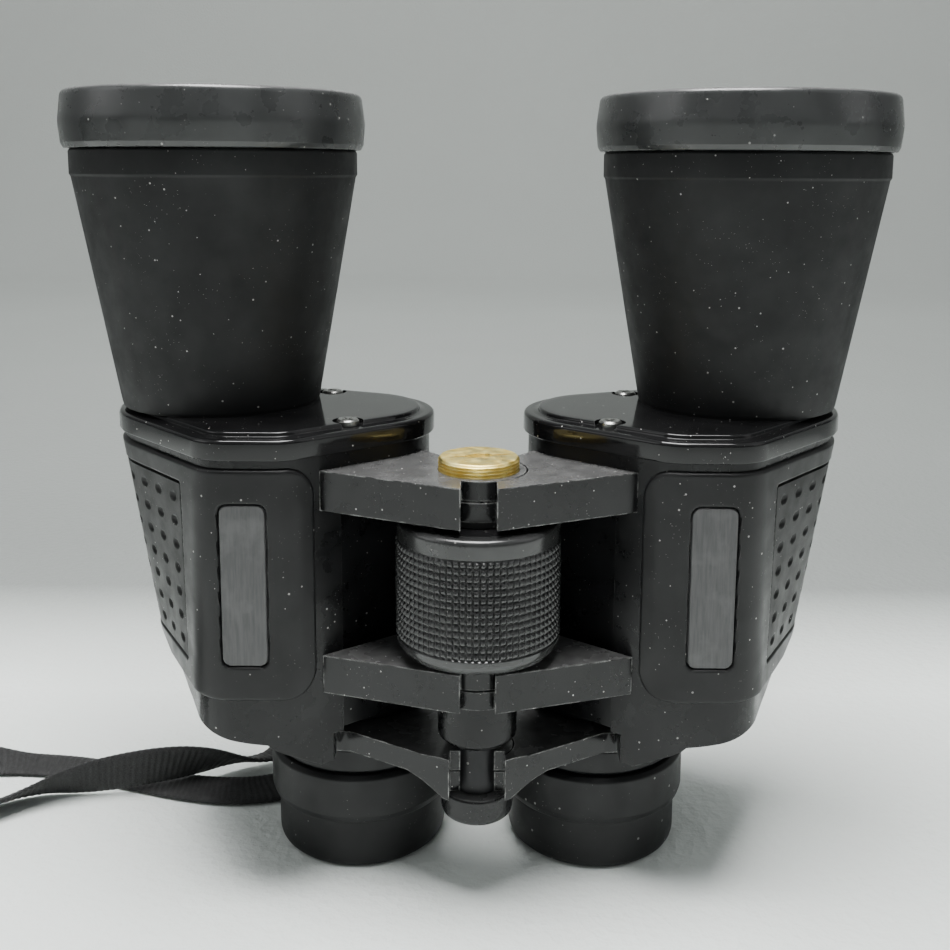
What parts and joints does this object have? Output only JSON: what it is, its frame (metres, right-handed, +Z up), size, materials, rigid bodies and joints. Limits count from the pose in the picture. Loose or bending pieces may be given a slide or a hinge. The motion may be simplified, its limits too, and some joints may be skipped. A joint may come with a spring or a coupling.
{
  "type": "porro prism binocular",
  "caption": "Full-size Porro prism binocular with flared objective barrels, centre focus wheel, folding hinge and webbing neck strap, standing on its eyecups.",
  "frame": {"origin": "centre of the binocular's own box on the surface it stands on, strap left out", "axes": "+Z up towards the objectives, -Y the user's top side with the focus wheel, +X to the right in the picture"},
  "size_m": [0.3231, 0.0936, 0.1769],
  "materials": {
    "guard_rubber": "satin moulded rubber",
    "barrel_coating": "soft matte rubber coating",
    "cover_gloss_black": "glossy black",
    "housing_black": "satin black paint",
    "armour_rubber": "satin moulded rubber",
    "grip_rubber": "matte, dimpled",
    "label_grey": "satin dark grey",
    "screw_steel": "blackened steel",
    "optical_glass": "coated optical glass",
    "ring_black": "black anodised",
    "prism_plate_aluminium": "cast",
    "spring_steel": "thin spring steel",
    "arm_black_paint": "semi-gloss black paint",
    "ocular_black": "satin black",
    "eyecup_rubber": "soft matte rubber",
    "plug_brass": "polished, dented",
    "hinge_steel": "turned steel",
    "tube_black": "semi-gloss black",
    "washer_nylon": "nylon",
    "spindle_steel": "turned steel, greased",
    "wheel_rubber": "knurled rubber",
    "strap_webbing": "ribbed woven webbing"
  },
  "bodies": {
    "left_half": {"left_prism_housing": "housing_black", "left_front_cover": "cover_gloss_black", "left_front_cover_screws": "screw_steel", "left_armour_panel": "armour_rubber", "left_grip_pad": "grip_rubber", "left_label_plate": "label_grey", "left_prisms": "optical_glass", "left_prism_shelf": "prism_plate_aluminium", "left_prism_clips": "spring_steel", "left_objective_barrel": "barrel_coating", "left_objective_lens": "optical_glass", "left_objective_retaining_ring": "ring_black", "left_objective_guard": "guard_rubber", "left_eyepiece_guide": "ring_black", "left_upper_hinge_arm": "arm_black_paint", "left_lower_hinge_arm": "arm_black_paint", "left_strap_lug": "housing_black", "hinge_stub": "hinge_steel", "hinge_tube": "tube_black", "wheel_washers": "washer_nylon", "left_strap_run": "strap_webbing", "right_strap_run": "strap_webbing", "strap_coil": "strap_webbing"},
    "right_half": {"right_prism_housing": "housing_black", "right_front_cover": "cover_gloss_black", "right_front_cover_screws": "screw_steel", "right_armour_panel": "armour_rubber", "right_grip_pad": "grip_rubber", "right_label_plate": "label_grey", "right_prisms": "optical_glass", "right_prism_shelf": "prism_plate_aluminium", "right_prism_clips": "spring_steel", "right_objective_barrel": "barrel_coating", "right_objective_lens": "optical_glass", "right_objective_retaining_ring": "ring_black", "right_objective_guard": "guard_rubber", "right_eyepiece_guide": "ring_black", "right_upper_hinge_arm": "arm_black_paint", "right_lower_hinge_arm": "arm_black_paint", "right_strap_lug": "housing_black"},
    "left_ocular": {"left_ocular_tube": "ring_black", "left_eye_lens": "optical_glass", "left_field_lens": "optical_glass", "left_ocular_collar": "ocular_black", "left_bridge_arm": "arm_black_paint", "left_eyepiece_band": "ocular_black", "left_eyecup": "eyecup_rubber", "focus_spindle": "spindle_steel", "spindle_cap": "tube_black"},
    "right_ocular": {"right_ocular_tube": "ring_black", "right_eye_lens": "optical_glass", "right_field_lens": "optical_glass", "right_ocular_collar": "ocular_black", "right_bridge_arm": "arm_black_paint"},
    "diopter": {"right_diopter_ring": "ocular_black", "right_eyecup": "eyecup_rubber"},
    "focus_wheel": {"focus_wheel_core": "tube_black", "focus_wheel_sleeve": "wheel_rubber"},
    "plug": {"hinge_plug": "plug_brass"}
  },
  "joints": [
    {"name": "fold", "type": "hinge", "parent": "left_half", "child": "right_half", "pos_m": [0, -0.0238, 0.072], "axis": [0, 0, -1], "range_deg": [0, 24]},
    {"name": "focus_turn", "type": "hinge", "parent": "left_half", "child": "focus_wheel", "pos_m": [0, -0.0238, 0.072], "axis": [0, 0, 1], "range_deg": [0, 360]},
    {"name": "left_focus_slide", "type": "slide", "parent": "left_half", "child": "left_ocular", "axis": [0, 0, -1], "range_m": [0, 0.009]},
    {"name": "right_focus_slide", "type": "slide", "parent": "right_half", "child": "right_ocular", "axis": [0, 0, -1], "range_m": [0, 0.009]},
    {"name": "diopter_turn", "type": "hinge", "parent": "right_ocular", "child": "diopter", "pos_m": [0.0281, 0.0023, 0.012], "axis": [0, 0, 1], "range_deg": [-40, 40]},
    {"name": "plug_lift", "type": "slide", "parent": "left_half", "child": "plug", "axis": [0, 0, 1], "range_m": [0, 0.012]}
  ],
  "couplings": [
    {"joint": "left_focus_slide", "follows": "focus_turn", "m_per_rad": 0.001432},
    {"joint": "right_focus_slide", "follows": "focus_turn", "m_per_rad": 0.001432}
  ]
}
